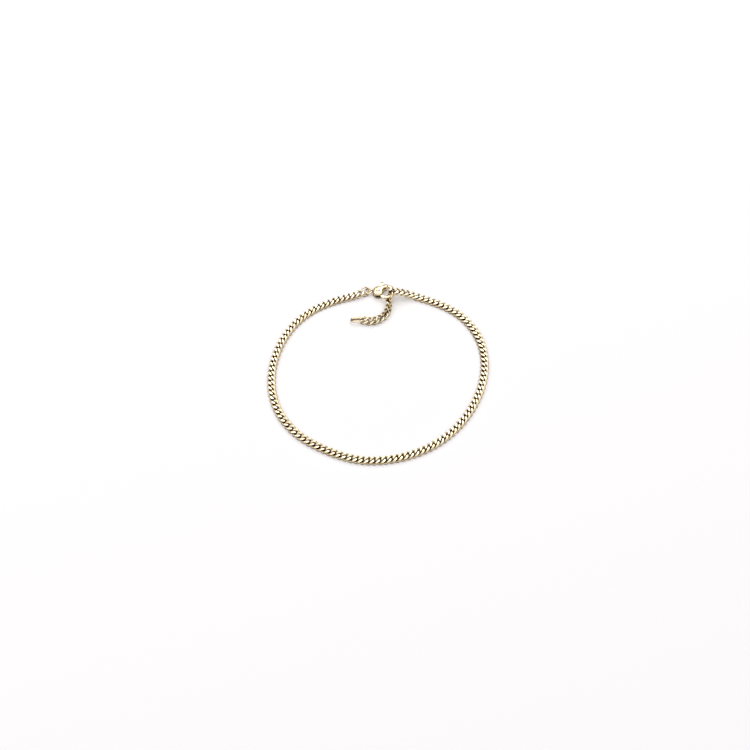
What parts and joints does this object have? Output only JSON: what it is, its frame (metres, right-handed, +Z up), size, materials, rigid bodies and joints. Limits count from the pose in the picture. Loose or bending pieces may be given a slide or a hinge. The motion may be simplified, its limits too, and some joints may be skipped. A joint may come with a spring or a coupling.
{
  "type": "chain anklet",
  "caption": "Curb chain anklet lying as a loop, closed by a lobster clasp with a sprung lever, with a short free extender ending in an oval link.",
  "frame": {"origin": "on the surface the anklet lies on, under the middle of its outline", "axes": "+X to the right across the loop, +Y towards the clasp's thumb tab, +Z up"},
  "size_m": [0.0815, 0.0773, 0.005],
  "materials": {
    "chain_gold": "polished pale yellow gold",
    "ring_gold": "polished pale yellow gold wire",
    "clasp_gold": "polished pale yellow gold casting",
    "pin_gold": "polished pale yellow gold rivet"
  },
  "bodies": {
    "anklet": {"main_chain": "chain_gold", "extender_chain": "chain_gold", "end_link": "ring_gold", "jump_ring": "ring_gold", "joining_ring": "ring_gold", "clasp_body": "clasp_gold", "clasp_pin": "pin_gold"},
    "lever": {"clasp_lever": "clasp_gold"}
  },
  "joints": [
    {"name": "clasp_lever_turn", "type": "hinge", "parent": "anklet", "child": "lever", "pos_m": [-0.0001, 0.0345, 0.00145], "axis": [-0.0865, 0.0106, 0.9962], "range_deg": [0, 18], "stiffness_Nm_per_rad": 0.01, "springref_deg": -17.19}
  ]
}
